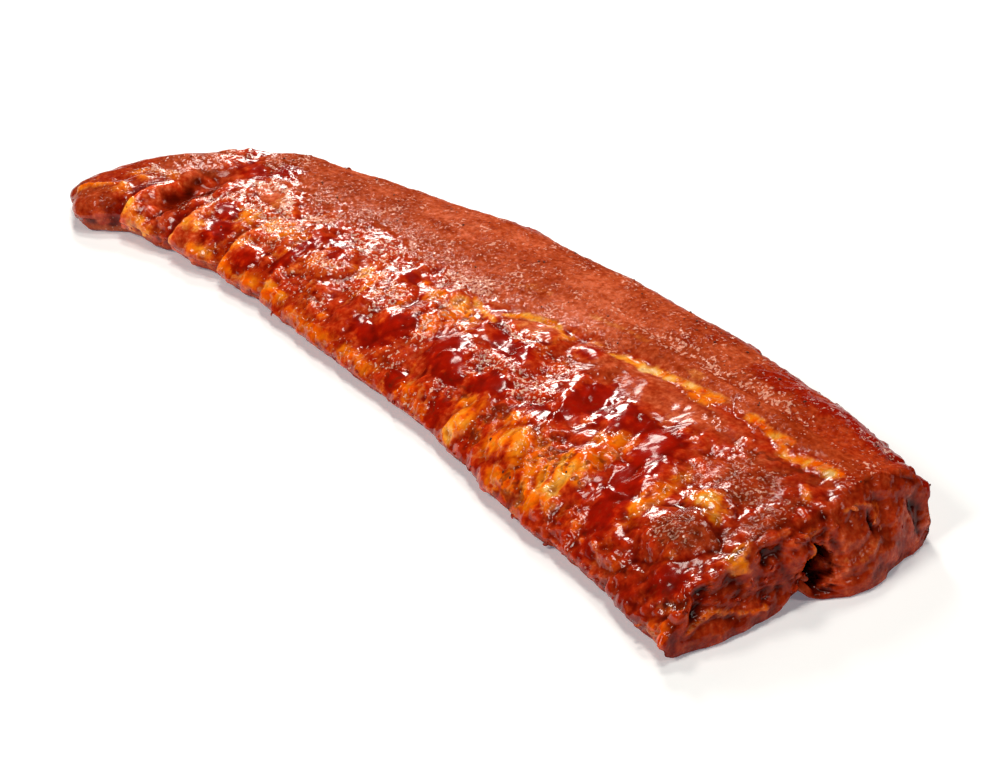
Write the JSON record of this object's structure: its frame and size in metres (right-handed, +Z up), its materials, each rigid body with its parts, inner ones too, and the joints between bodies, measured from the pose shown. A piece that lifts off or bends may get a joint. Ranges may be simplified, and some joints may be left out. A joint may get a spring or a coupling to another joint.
{
  "type": "rack of ribs",
  "caption": "Full rack of roasted back ribs with glossy red-brown barbecue glaze, lying meat side up, cut square at the wide end and rounded at the narrow end.",
  "frame": {"origin": "middle of the footprint, on the surface that the rack lies on", "axes": "+X along the rack to the wide cut end, +Y from the rib tips to the chine edge, +Z up"},
  "size_m": [0.462, 0.1538, 0.0361],
  "materials": {
    "glazed_meat": "glossy sauce glaze over roasted meat and orange fat"
  },
  "bodies": {
    "root": {"rib_rack": "glazed_meat"}
  },
  "joints": []
}
